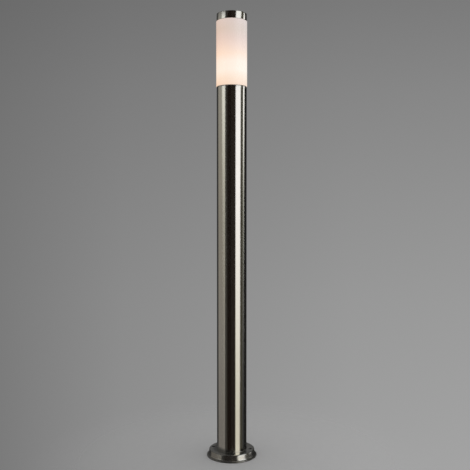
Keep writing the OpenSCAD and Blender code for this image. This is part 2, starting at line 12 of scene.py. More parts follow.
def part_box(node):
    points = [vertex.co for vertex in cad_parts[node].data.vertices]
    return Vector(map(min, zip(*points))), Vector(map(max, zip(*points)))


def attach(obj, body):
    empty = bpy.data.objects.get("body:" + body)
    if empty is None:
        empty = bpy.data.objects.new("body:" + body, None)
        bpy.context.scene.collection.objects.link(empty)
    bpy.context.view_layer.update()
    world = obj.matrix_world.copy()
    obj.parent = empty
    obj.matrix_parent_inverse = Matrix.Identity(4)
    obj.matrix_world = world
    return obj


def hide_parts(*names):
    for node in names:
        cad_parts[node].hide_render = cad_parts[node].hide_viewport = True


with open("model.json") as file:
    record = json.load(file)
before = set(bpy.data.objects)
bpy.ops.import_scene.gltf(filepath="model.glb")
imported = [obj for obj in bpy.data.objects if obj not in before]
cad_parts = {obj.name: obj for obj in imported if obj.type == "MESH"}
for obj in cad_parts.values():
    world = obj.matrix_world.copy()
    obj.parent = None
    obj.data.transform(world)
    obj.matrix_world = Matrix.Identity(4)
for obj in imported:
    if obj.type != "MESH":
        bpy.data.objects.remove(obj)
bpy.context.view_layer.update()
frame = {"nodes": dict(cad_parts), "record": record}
scene = bpy.context.scene
MM = 0.001
PI = math.pi
UP = (0.0, 0.0, 1.0)
CAMERA_TURN = math.radians(10)
TO_CAMERA = (math.sin(CAMERA_TURN), -math.cos(CAMERA_TURN), 0.0)
RIGHT = (math.cos(CAMERA_TURN), math.sin(CAMERA_TURN), 0.0)    # to the camera's right


# ------------------------------------------------------------------ places from the frame
def box_mm(node):
    """The lowest and highest corner of a CAD node."""
    low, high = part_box(node)
    return [round(v / MM, 3) for v in low], [round(v / MM, 3) for v in high]


POST_R, _, RIM_Z = box_mm("post_tube")[1]
POST_IN_R = POST_R - 1.5

foot_low, foot_high = box_mm("base_flange")
FOOT_R = foot_high[0]
FOOT_Z = foot_low[2]                               # underside of the lip
FOOT_TOP = round(foot_high[2] - 0.9, 2)            # flat top face, below the neck
FOOT_WALL_R = FOOT_R - 6.0                         # upright wall near the top
FOOT_SHEET = 1.5
mount = frame["record"]["mounts"][0]["dims"]
BOLT_X = mount["spacing_x_mm"] / 2
BOLT_R = mount["hole_r_mm"]

opal_low, opal_high = box_mm("diffuser")
OPAL_R = opal_high[0]
OPAL_IN_R = OPAL_R - 3.0
OPAL_Z0, OPAL_Z1 = opal_low[2], opal_high[2]
cap_low, cap_high = box_mm("top_cap")
CAP_R = cap_high[0]
CAP_Z0, CAP_Z1 = cap_low[2], cap_high[2]
CAP_SHEET = 1.2
NECK_Z = box_mm("head_collar")[0][2]

dome_low, dome_high = box_mm("lamp_dome")
DOME_R = dome_high[0]
DOME_Z = dome_high[2] - DOME_R                     # centre of the sphere
DOME_EDGE = 25                                     # degrees the dome runs below its centre
JOIN_Z = dome_low[2]                               # where dome and housing meet
JOIN_R = round(DOME_R * math.cos(math.radians(DOME_EDGE)), 3)
LAMP_Z = box_mm("lamp_contact")[0][2]
HOLDER_Z = box_mm("lampholder_body")[0][2]
E27_PITCH = 3.629

clamp_low, clamp_high = box_mm("clamp_screw")
CLAMP_Y = clamp_low[1]
CLAMP_Z = round((clamp_low[2] + clamp_high[2]) / 2, 2)
CLAMP_LENGTH = 3.6
CLAMP_TIP_Y = box_mm("clamp_screw_tip")[0][1]

LOWER_Z = box_mm("lower_ring")[0][2]
PLATE_Z = box_mm("holder_plate")[0][2]
WIRE_R = 1.2


# ------------------------------------------------------------------ profiles of (radius, z)
def arc(x, z, radius, start, end, steps):
    """Points on an arc, its angles in degrees."""
    angles = [math.radians(start + (end - start) * k / steps) for k in range(steps + 1)]
    return [(x + radius * math.cos(a), z + radius * math.sin(a)) for a in angles]


def rounded(points, steps=4):
    """A closed profile of (r, z) or (r, z, radius). A corner with a radius becomes an arc."""
    out = []
    for i, point in enumerate(points):
        corner = Vector(point[:2])
        if len(point) == 2:
            out.append(tuple(corner))
            continue
        back = Vector(points[i - 1][:2]) - corner
        ahead = Vector(points[(i + 1) % len(points)][:2]) - corner
        back_length, ahead_length = back.length, ahead.length
        back.normalize()
        ahead.normalize()
        angle = back.angle(ahead)
        if angle > PI - 1e-3 or angle < 1e-3:
            out.append(tuple(corner))
            continue
        cut = min(point[2] / math.tan(angle / 2), back_length * 0.499, ahead_length * 0.499)
        radius = cut * math.tan(angle / 2)
        centre = corner + (back + ahead).normalized() * (radius / math.sin(angle / 2))
        first = corner + back * cut - centre
        last = corner + ahead * cut - centre
        start = math.atan2(first.y, first.x)
        turn = (math.atan2(last.y, last.x) - start + PI) % (2 * PI) - PI
        for k in range(steps + 1):
            a = start + turn * k / steps
            out.append((centre.x + radius * math.cos(a), centre.y + radius * math.sin(a)))
    return out


def extra_rings(profile, heights=(), radii=()):
    """Adds points at the heights and radii to the runs of a closed profile longer than 2 mm."""
    out = []
    for i, (r, z) in enumerate(profile):
        next_r, next_z = profile[(i + 1) % len(profile)]
        out.append((r, z))
        shares = [(h - z) / (next_z - z) for h in heights if abs(next_z - z) > 2]
        shares += [(q - r) / (next_r - r) for q in radii if abs(next_r - r) > 2]
        out += [(r + (next_r - r) * s, z + (next_z - z) * s)
                for s in sorted(shares) if 0.002 < s < 0.998]
    return out


def hexagon(across_flats):
    """Radius of a hexagon at an angle."""
    return lambda a: across_flats / 2 / math.cos((a + PI / 6) % (PI / 3) - PI / 6)


def thread(root, crest, pitch, z, z0, z1):
    """Radius of a right-hand thread at height z, fading over half a turn towards z0 and z1."""
    fade = max(0.0, min(1.0, (z - z0) / (pitch * 0.5), (z1 - z) / (pitch * 0.5)))

    def radius(a):
        wave = 0.5 + 0.5 * math.cos(2 * PI * z / pitch - a)
        return root + (crest - root) * fade * wave
    return radius


# ------------------------------------------------------------------ meshes
def lathe(profile, segments, closed=True, bm=None, matrix=Matrix.Identity(4)):
    """Turns a profile round Z. A radius may be a function of the angle."""
    bm = bm or bmesh.new()
    rings = []
    for r, z in profile:
        if not callable(r) and r < 1e-6:
            rings.append([bm.verts.new(matrix @ Vector((0, 0, z * MM)))])
            continue
        ring = []
        for s in range(segments):
            a = 2 * PI * s / segments
            radius = (r(a) if callable(r) else r) * MM
            place = Vector((radius * math.cos(a), radius * math.sin(a), z * MM))
            ring.append(bm.verts.new(matrix @ place))
        rings.append(ring)
    for i in range(len(rings) if closed else len(rings) - 1):
        here, there = rings[i], rings[(i + 1) % len(rings)]
        if len(here) == 1 and len(there) == 1:
            continue
        for s in range(segments):
            t = (s + 1) % segments
            if len(here) == 1:
                bm.faces.new((here[0], there[s], there[t]))
            elif len(there) == 1:
                bm.faces.new((here[s], here[t], there[0]))
            else:
                bm.faces.new((here[s], here[t], there[t], there[s]))
    return bm


def link_bmesh(name, bm):
    """Makes an object in the scene from a bmesh."""
    mesh = bpy.data.meshes.new(name)
    bmesh.ops.recalc_face_normals(bm, faces=bm.faces)
    bm.to_mesh(mesh)
    bm.free()
    ob = bpy.data.objects.new(name, mesh)
    scene.collection.objects.link(ob)
    return ob


def shade_smooth(mesh, sharp):
    """Smooth faces, with sharp edges where the surface turns by more than sharp degrees."""
    mesh.polygons.foreach_set("use_smooth", [True] * len(mesh.polygons))
    mesh.set_sharp_from_angle(angle=math.radians(sharp))


def make(name, bm, sharp=32.0):
    ob = link_bmesh(name, bm)
    shade_smooth(ob.data, sharp)
    return ob


def cut(ob, bm):
    """Cuts bm out of ob and applies the result."""
    tool = link_bmesh("tool", bm)
    tool_mesh = tool.data
    modifier = ob.modifiers.new("tool", "BOOLEAN")
    modifier.operation = "DIFFERENCE"
    modifier.object = tool
    modifier.solver = "EXACT"
    depsgraph = bpy.context.evaluated_depsgraph_get()
    result = bpy.data.meshes.new_from_object(ob.evaluated_get(depsgraph))
    ob.modifiers.clear()
    old = ob.data
    ob.data = result
    bpy.data.objects.remove(tool)
    bpy.data.meshes.remove(tool_mesh)
    result.name = ob.name
    bpy.data.meshes.remove(old)
    shade_smooth(result, 32.0)


def towards_back(y, z):
    """A matrix that stands a piece drawn along +Z at (0, y, z), pointing along +Y."""
    turn = Vector(UP).rotation_difference(Vector((0, 1, 0))).to_matrix().to_4x4()
    return Matrix.Translation(Vector((0, y, z)) * MM) @ turn


def add_box(bm, low, high, rounding):
    """Adds a box with rounded edges to bm."""
    box = bmesh.new()
    bmesh.ops.create_cube(box, size=1.0)
    for v in box.verts:
        v.co = Vector([(l + (h - l) * (c + 0.5)) * MM for l, h, c in zip(low, high, v.co)])
    bmesh.ops.bevel(box, geom=box.edges[:], offset=rounding * MM, segments=3, profile=0.5,
                    affect="EDGES")
    mesh = bpy.data.meshes.new("box")
    box.to_mesh(mesh)
    box.free()
    bm.from_mesh(mesh)
    bpy.data.meshes.remove(mesh)


# ------------------------------------------------------------------ shader nodes
def mm(*lengths):
    return tuple(v * MM for v in lengths)


def grey(level):
    return (level, level, level)


def greys(*stops):
    return [(position, grey(level)) for position, level in stops]


class ShaderTree:
    """Short ways to add and link nodes in an emptied tree."""

    def __init__(self, tree):
        self.tree = tree
        tree.nodes.clear()

    def add(self, kind, sockets=None, **settings):
        node = self.tree.nodes.new(kind)
        for name, value in settings.items():
            setattr(node, name, value)
        for socket, value in (sockets or {}).items():
            self.put(node.inputs[socket], value)
        return node

    def put(self, socket, value):
        """Links a socket or sets its value. A colour gets an alpha of 1."""
        if isinstance(value, bpy.types.NodeSocket):
            self.tree.links.new(value, socket)
        elif isinstance(value, tuple) and len(value) == 3 and len(socket.default_value) == 4:
            socket.default_value = (*value, 1.0)
        else:
            socket.default_value = value

    def calc(self, operation, *values):
        return self.add("ShaderNodeMath", dict(enumerate(values)), operation=operation).outputs[0]

    def blend(self, first, second, share):
        """The share of the first value, plus the rest of the second."""
        return self.calc("ADD", self.calc("MULTIPLY", first, share),
                         self.calc("MULTIPLY", second, 1 - share))

    def hypot(self, x, y):
        squares = self.calc("ADD", self.calc("MULTIPLY", x, x), self.calc("MULTIPLY", y, y))
        return self.calc("SQRT", squares)

    def span(self, value, over, to=(0.0, 1.0), curve="SMOOTHSTEP"):
        """Maps the range over to the range to, clamped."""
        sockets = {"Value": value, "From Min": over[0], "From Max": over[1],
                   "To Min": to[0], "To Max": to[1]}
        node = self.add("ShaderNodeMapRange", sockets, interpolation_type=curve, clamp=True)
        return node.outputs["Result"]

    def mix(self, factor, first, second, blend="MIX"):
        return self.add("ShaderNodeMix", {"Factor": factor, 6: first, 7: second},
                        data_type="RGBA", blend_type=blend, clamp_factor=True).outputs[2]

    def ramp(self, factor, stops):
        """A colour ramp with stops of (position, colour)."""
        node = self.add("ShaderNodeValToRGB", {0: factor})
        elements = node.color_ramp.elements
        while len(elements) > 1:
            elements.remove(elements[-1])
        for i, (position, colour) in enumerate(stops):
            element = elements[0] if i == 0 else elements.new(position)
            element.position = position
            element.color = (*colour, 1.0)
        return node.outputs[0]

    def vector(self, operation, sockets, output=0):
        node = self.add("ShaderNodeVectorMath", sockets, operation=operation)
        return node.outputs[output]

    def dot(self, first, second):
        return self.vector("DOT_PRODUCT", {0: first, 1: second}, "Value")

    def split(self, vector):
        return self.add("ShaderNodeSeparateXYZ", {0: vector}).outputs

    def window(self):
        """Place in the picture, x and y from 0 to 1."""
        return self.split(self.add("ShaderNodeTexCoord").outputs["Window"])

    def camera_right(self):
        """The direction to the camera's right, so light stays with the camera as it moves."""
        return self.add("ShaderNodeVectorTransform", {0: (1.0, 0.0, 0.0)}, vector_type="VECTOR",
                        convert_from="CAMERA", convert_to="WORLD").outputs[0]


FINISHES = {}


class Material(ShaderTree):
    """A new material, kept in FINISHES under its name."""

    def __init__(self, name):
        material = bpy.data.materials.new(name)
        material.use_nodes = True
        FINISHES[name] = material
        super().__init__(material.node_tree)
        self.here = self.add("ShaderNodeTexCoord").outputs["Object"]

    def noise(self, scale, detail=2.0, rough=0.5, stretch=None):
        place = self.vector("MULTIPLY", {0: self.here, 1: stretch}) if stretch else self.here
        sockets = {"Vector": place, "Scale": scale, "Detail": detail, "Roughness": rough}
        return self.add("ShaderNodeTexNoise", sockets).outputs["Fac"]

    def bump(self, height, strength, distance):
        sockets = {"Strength": strength, "Distance": distance, "Height": height}
        return self.add("ShaderNodeBump", sockets).outputs[0]

    def surface(self, shader):
        self.add("ShaderNodeOutputMaterial", {0: shader.outputs[0]})

    def principled(self, sockets):
        shader = self.add("ShaderNodeBsdfPrincipled", sockets)
        self.surface(shader)
        return shader


def shades(colour, tint):
    """Ramp stops either side of a colour."""
    return [(0.3, tuple(c * (1 - tint * 1.6) for c in colour)),
            (0.7, tuple(min(1.0, c * (1 + tint)) for c in colour))]


# ------------------------------------------------------------------ finishes
def foot_dust_and_shade(mat, base, smudge):
    """Dust patches on the foot, and painted shade on its walls, its flare, the top face round the
    post and inside the bolt holes. Returns the colour, the extra roughness and the wall mask.
    """
    def across(over, to=(0.0, 1.0)):
        return mat.span(mat.dot(mat.here, RIGHT), over, to)

    normal = mat.split(mat.add("ShaderNodeNewGeometry").outputs["Normal"])
    wall = mat.span(normal[2], over=(0.55, 0.85), to=(1.0, 0.0))

    # painted shade on the walls, most on the left, and random patches all over
    shade_and_patches = mat.calc("MULTIPLY", wall, across(over=mm(-22, 4), to=(0.5, 0.0)))
    shade_and_patches = mat.calc("ADD", shade_and_patches, mat.span(smudge, over=(0.5, 0.8), to=(0.0, 0.12)))

    # painted shade on the flare: high up it on the right, low down all round, but not on the lip
    x, y, z = mat.split(mat.here)
    flare = mat.span(z, over=mm(FOOT_Z + 2.2, FOOT_Z + 8.5), to=(0.6, 0.0))
    flare = mat.calc("MULTIPLY", flare, across(over=mm(33, 38)))
    low = mat.span(z, over=mm(FOOT_Z + 1.6, FOOT_Z + 3.6), to=(0.45, 0.0))
    flare = mat.calc("MAXIMUM", flare, low)
    above_lip = mat.span(z, over=mm(FOOT_Z + 1, FOOT_Z + 1.6))
    shade_and_patches = mat.calc("MAXIMUM", shade_and_patches, mat.calc("MULTIPLY", flare, above_lip))
    # painted shade and random patches: walls, flare and patches go towards a dark grey
    base = mat.mix(shade_and_patches, base, (0.125, 0.118, 0.108))

    # painted contact shade on the top face close round the post, on the left
    near = mat.span(mat.hypot(x, y), over=mm(POST_R + 4, POST_R + 15), to=(0.65, 0.0))
    near = mat.calc("MULTIPLY", near, mat.span(normal[2], over=(0.8, 0.95)))
    contact_shade = mat.calc("MULTIPLY", near, across(over=mm(-8, 6), to=(1.0, 0.0)))
    base = mat.mix(contact_shade, base, (0.10, 0.095, 0.088))

    # painted shade inside the bolt holes
    off = mat.calc("SUBTRACT", mat.calc("ABSOLUTE", x), BOLT_X * MM)
    hole = mat.span(mat.hypot(off, y), over=mm(BOLT_R + 0.05, BOLT_R + 0.35), to=(1.0, 0.0))
    base = mat.mix(hole, base, (0.02, 0.018, 0.016))
    extra_rough = mat.calc("ADD", mat.calc("MULTIPLY", hole, 0.4),
                           mat.calc("MULTIPLY", flare, 0.2))
    return base, extra_rough, wall


def brushed(name, colour, rough=0.17, tint=0.05, smudging=0.015, dust_and_shade=False):
    """Metal brushed round its axis: fine rings that blur a reflection along the height only."""
    mat = Material(name)
    fine = mat.noise(scale=1.0, detail=3.0, rough=0.7, stretch=(7, 7, 4200))
    middle = mat.noise(scale=1.0, detail=3.0, rough=0.6, stretch=(12, 12, 700))
    broad = mat.noise(scale=1.0, detail=3.0, rough=0.55, stretch=(18, 18, 7))
    smudge = mat.noise(scale=34.0, detail=4.0, rough=0.6)
    streak = mat.blend(fine, middle, share=0.55)
    base = mat.ramp(mat.blend(streak, broad, share=0.6), shades(colour, tint))
    roughness = mat.calc("ADD",
                         mat.span(streak, over=(0.3, 0.72), to=(rough - 0.03, rough + 0.03)),
                         mat.span(smudge, over=(0.45, 0.75), to=(0.0, smudging)))
    if dust_and_shade:
        base, extra_rough, wall = foot_dust_and_shade(mat, base, smudge)
        roughness = mat.calc("ADD", roughness, extra_rough)
    tangent = mat.add("ShaderNodeTangent", direction_type="RADIAL", axis="Z").outputs[0]
    shader = mat.principled({
        "Base Color": base, "Metallic": 1.0, "Roughness": roughness,
        "Anisotropic": 0.9, "Anisotropic Rotation": 0.25, "Tangent": tangent})
    if dust_and_shade:
        metallic = mat.calc("SUBTRACT", 1.0, mat.calc("MULTIPLY", wall, 0.05))
        mat.put(shader.inputs["Metallic"], metallic)


def plain_metal(name, colour, rough, spread, scale, bump, tint):
    mat = Material(name)
    fine = mat.noise(scale=scale, detail=4.0, rough=0.6)
    broad = mat.noise(scale=scale * 0.06, detail=3.0, rough=0.6)
    shade = mat.blend(fine, broad, share=0.5)
    mat.principled({
        "Base Color": mat.ramp(shade, shades(colour, tint)),
        "Metallic": 1.0,
        "Roughness": mat.span(shade, over=(0.3, 0.7), to=(rough - spread, rough + spread)),
        "Normal": mat.bump(fine, strength=bump, distance=0.00003)})


def plastic(name, colour, rough, scale, bump, tint, coat=0.0, subsurface=0.0, specular=0.5):
    mat = Material(name)
    fine = mat.noise(scale=scale, detail=3.0, rough=0.6)
    broad = mat.noise(scale=60.0, detail=3.0, rough=0.6)
    shade = mat.blend(fine, broad, share=0.35)
    sockets = {
        "Base Color": mat.ramp(shade, shades(colour, tint)),
        "Roughness": mat.span(shade, over=(0.3, 0.7), to=(rough - 0.05, rough + 0.05)),
        "Normal": mat.bump(fine, strength=bump, distance=0.00004),
        "Coat Weight": coat, "Coat Roughness": 0.12, "Specular IOR Level": specular}
    if subsurface:
        sockets |= {"Subsurface Weight": subsurface, "Subsurface Scale": 0.5,
                    "Subsurface Radius": (0.004, 0.003, 0.002)}
    mat.principled(sockets)


# Painted glow of the opal cylinder from 150 mm below the lamp dome's centre (0) to 250 mm above
# (1)
OPAL_GLOW = [
    (0.0, (0.06, 0.03, 0.02)), (0.15, (0.32, 0.18, 0.11)), (0.255, (0.76, 0.54, 0.40)),
    (0.29, (0.80, 0.61, 0.465)), (0.345, (0.85, 0.72, 0.61)), (0.40, (0.86, 0.70, 0.59)),
    (0.45, (0.81, 0.60, 0.465)), (0.50, (0.71, 0.52, 0.43)), (0.55, (0.61, 0.45, 0.385)),
    (0.60, (0.54, 0.42, 0.355)), (0.65, (0.55, 0.435, 0.39)), (1.0, (0.14, 0.11, 0.09))]


def opal_plastic():
    """White and softly glossy, with a painted glow, brightest round the lamp.
    The painted glow keeps to the lamp's height when the head is lifted off."""
    mat = Material("opal_plastic")
    place = mat.split(mat.add("ShaderNodeNewGeometry").outputs["Position"])
    cloud = mat.noise(scale=24.0)
    height = mat.calc("SUBTRACT", place[2], DOME_Z * MM)
    uneven = mat.calc("MULTIPLY", mat.calc("SUBTRACT", cloud, 0.5), 0.012)
    height = mat.calc("ADD", height, uneven)
    glow = mat.ramp(mat.span(height, over=(-0.15, 0.25), curve="LINEAR"), OPAL_GLOW)
    # a painted sheen: cooler to the camera's right, warmer to its left
    side = mat.span(mat.dot(mat.here, mat.camera_right()), over=mm(-OPAL_R, OPAL_R),
                    to=(-1.0, 1.0), curve="LINEAR")
    green = mat.calc("MULTIPLY", side, 0.05)
    blue = mat.calc("MULTIPLY", side, 0.08)
    painted_sheen = mat.add("ShaderNodeCombineColor", {1: green, 2: blue}).outputs[0]
    body = [(0.3, (0.42, 0.41, 0.40)), (0.7, (0.46, 0.455, 0.45))]
    mat.principled({
        "Emission Color": mat.mix(1.0, glow, painted_sheen, blend="ADD"),
        "Emission Strength": 1.0,
        "Base Color": mat.ramp(cloud, body),
        "Roughness": 0.42, "Specular IOR Level": 0.4,
        "Normal": mat.bump(mat.noise(scale=700.0), strength=0.04, distance=0.00003)})


def lamp_opal():
    """The lit dome of the lamp, warmer towards its outline."""
    mat = Material("lamp_opal")
    facing = mat.add("ShaderNodeLayerWeight", {"Blend": 0.4}).outputs["Facing"]
    glow = mat.ramp(facing, [
        (0.0, (1.0, 0.90, 0.72)), (0.7, (1.0, 0.84, 0.62)), (1.0, (0.95, 0.74, 0.50))])
    cloud = mat.calc("MULTIPLY", mat.noise(scale=40.0), 0.12)
    mat.principled({
        "Emission Color": mat.mix(cloud, glow, (1.0, 0.8, 0.55)), "Emission Strength": 1.3,
        "Base Color": (0.8, 0.78, 0.74), "Roughness": 0.4})


def wire_green_yellow():
    """Earth wire in slanted stripes of two colours."""
    mat = Material("wire_green_yellow")
    x, y, _ = mat.split(mat.here)
    slant = mat.calc("ADD", x, mat.calc("MULTIPLY", y, 0.35))
    band = mat.calc("SINE", mat.calc("MULTIPLY", slant, 2600.0))
    mottle = mat.noise(scale=900.0)
    stripes = mat.mix(mat.span(band, over=(-0.12, 0.12)), (0.03, 0.25, 0.05), (0.75, 0.62, 0.03))
    base = mat.mix(mat.calc("MULTIPLY", mottle, 0.12), stripes, (0.1, 0.1, 0.05))
    mat.principled({"Base Color": base, "Roughness": 0.4})


STEEL = (0.63, 0.615, 0.575)
brushed("satin_steel", STEEL)
brushed("foot_steel", (0.60, 0.585, 0.55), rough=0.25, smudging=0.03, dust_and_shade=True)
brushed("cap_steel", STEEL)
brushed("collar_aluminium", (0.74, 0.74, 0.75), rough=0.3, tint=0.04)

# name, colour, roughness, its spread, grain scale, bump strength, tint
for row in [
    ("zinc_steel", (0.58, 0.60, 0.64), 0.38, 0.09, 420.0, 0.2, 0.05),
    ("screw_steel", (0.62, 0.62, 0.61), 0.26, 0.06, 1400.0, 0.12, 0.05),
    ("brass", (0.78, 0.60, 0.28), 0.27, 0.07, 700.0, 0.12, 0.08),
    ("lamp_nickel", (0.72, 0.70, 0.66), 0.2, 0.06, 500.0, 0.06, 0.05),
]:
    plain_metal(*row)

# name, colour, roughness, grain scale, bump strength, tint, then coat, subsurface and specular
for row in [
    ("black_rubber", (0.022, 0.022, 0.023), 0.72, 1800.0, 0.35, 0.1, 0.0, 0.0, 0.3),
    ("white_silicone", (0.78, 0.78, 0.75), 0.5, 1600.0, 0.15, 0.03, 0.0, 0.3),
    ("white_plastic", (0.84, 0.83, 0.79), 0.42, 2200.0, 0.12, 0.03),
    ("black_plastic", (0.03, 0.03, 0.032), 0.48, 2200.0, 0.25, 0.1),
    ("lamp_white", (0.86, 0.85, 0.82), 0.32, 2400.0, 0.06, 0.02, 0.3),
    ("porcelain", (0.86, 0.84, 0.79), 0.22, 700.0, 0.08, 0.02, 0.7),
    ("lamp_black_glass", (0.012, 0.012, 0.016), 0.12, 900.0, 0.05, 0.2, 0.8),
    ("nylon", (0.82, 0.81, 0.76), 0.4, 1500.0, 0.12, 0.03, 0.0, 0.2),
    ("green_screw", (0.07, 0.26, 0.09), 0.35, 900.0, 0.15, 0.12, 0.3),
    ("wire_brown", (0.17, 0.065, 0.025), 0.38, 1500.0, 0.1, 0.06),
    ("wire_blue", (0.025, 0.09, 0.36), 0.38, 1500.0, 0.1, 0.06),
    ("led_board", (0.84, 0.84, 0.8), 0.34, 1200.0, 0.1, 0.03),
]:
    plastic(*row)

opal_plastic()
lamp_opal()
wire_green_yellow()


# ------------------------------------------------------------------ pieces
def paint(ob, finish):
    ob.data.materials.clear()
    ob.data.materials.append(FINISHES[finish])


def dress(skin, finish, body):
    """Gives a skin its finish, body and slot, in place of the CAD node it is named after."""
    paint(skin, finish)
    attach(skin, body)
    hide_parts(skin.name.removesuffix("_skin"))


def turned(node, finish, body, segments, profile, sharp=32.0,
           matrix=Matrix.Identity(4)):
    """A finished skin for a CAD node, turned from a profile."""
    skin = make(node + "_skin", lathe(profile, segments, matrix=matrix), sharp)
    dress(skin, finish, body)


def bolt_holes(profile, segments):
    """Cutters for the two bolt holes."""
    holes = bmesh.new()
    for x in (-BOLT_X, BOLT_X):
        lathe(profile, segments, bm=holes, matrix=Matrix.Translation((x * MM, 0, 0)))
    return holes


def post_tube():
    """The tube, with a countersunk hole at the back for the clamping screw."""
    profile = rounded([(POST_IN_R, 6.0, 0.3), (POST_R, 6.0, 0.3),
                       (POST_R, RIM_Z, 0.4), (POST_IN_R, RIM_Z, 0.3)])
    heights = [30, 100, 250, 400, 550, 700, 850]
    heights += [CLAMP_Z + d for d in (-14, -7, -3.6, 3.6, 7)]
    tube = make("post_tube_skin", lathe(extra_rings(profile, heights=heights), 288))
    hole = [(0, -12), (2.7, -12), (2.7, -0.15), (3.1, 0.25), (3.1, 6), (0, 6)]
    cut(tube, lathe(hole, 64, matrix=towards_back(POST_R, CLAMP_Z)))
    dress(tube, "satin_steel", "post")


def foot():
    """One pressed sheet: a low neck round the post, a flat top face, a rolled edge, a wall that
    leans out a little, and a flare that ends in a rounded lip."""
    edge_r, flare_r = 3.0, 4.0
    edge_x, edge_z = FOOT_WALL_R - edge_r, FOOT_TOP - edge_r
    flare_x, flare_z = FOOT_WALL_R + 0.9 + flare_r, FOOT_Z + FOOT_SHEET + flare_r
    neck_r = POST_R + 0.1
    lip_r = FOOT_SHEET / 2
    profile = [(neck_r, FOOT_TOP - FOOT_SHEET), (neck_r, FOOT_TOP + 0.9)]
    for x, z, radius, start, end, steps in [
        (neck_r + 0.25, FOOT_TOP + 0.65, 0.25, 90, 0, 5),
        (neck_r + 1.1, FOOT_TOP + 0.6, 0.6, 180, 270, 7),
        (edge_x, edge_z, edge_r, 90, 3, 14),
        (flare_x, flare_z, flare_r, 180, 270, 14),
        (FOOT_R - lip_r, FOOT_Z + lip_r, lip_r, 90, -90, 10),
        (flare_x, flare_z, flare_r + FOOT_SHEET, 270, 180, 14),
        (edge_x, edge_z, edge_r - FOOT_SHEET, 3, 90, 10),
    ]:
        profile += arc(x, z, radius, start, end, steps)
    profile = extra_rings(profile, radii=[43.4, 44.6, 51.4, 52.6])
    skin = make("base_flange_skin", lathe(profile, 360))
    hole = [(0, FOOT_TOP - 6), (BOLT_R, FOOT_TOP - 6), (BOLT_R, FOOT_TOP - 0.1),
            (BOLT_R + 0.1, FOOT_TOP), (BOLT_R + 0.1, FOOT_TOP + 1.5), (0, FOOT_TOP + 1.5)]
    cut(skin, bolt_holes(hole, 72))
    dress(skin, "foot_steel", "post")


def foot_gasket():
    inner, outer = FOOT_R - 6.2, FOOT_R - 0.9
    turned("foot_gasket", "black_rubber", "post", 256, rounded([
        (inner, 0, 0.25), (outer, 0, 0.25), (outer, FOOT_Z, 0.2), (inner, FOOT_Z, 0.2)]))


def backing_plate():
    """Thick ring under the foot's top face."""
    inner, outer = POST_R + 0.3, FOOT_WALL_R - 4.2
    high = FOOT_TOP - FOOT_SHEET
    low = high - 3
    plate = make("backing_plate_skin", lathe(rounded([
        (inner, low, 0.4), (outer, low, 0.4), (outer, high, 0.4), (inner, high, 0.4)]), 192))
    hole = [(0, FOOT_TOP - 8), (BOLT_R, FOOT_TOP - 8), (BOLT_R, FOOT_TOP + 2), (0, FOOT_TOP + 2)]
    cut(plate, bolt_holes(hole, 64))
    dress(plate, "zinc_steel", "post")


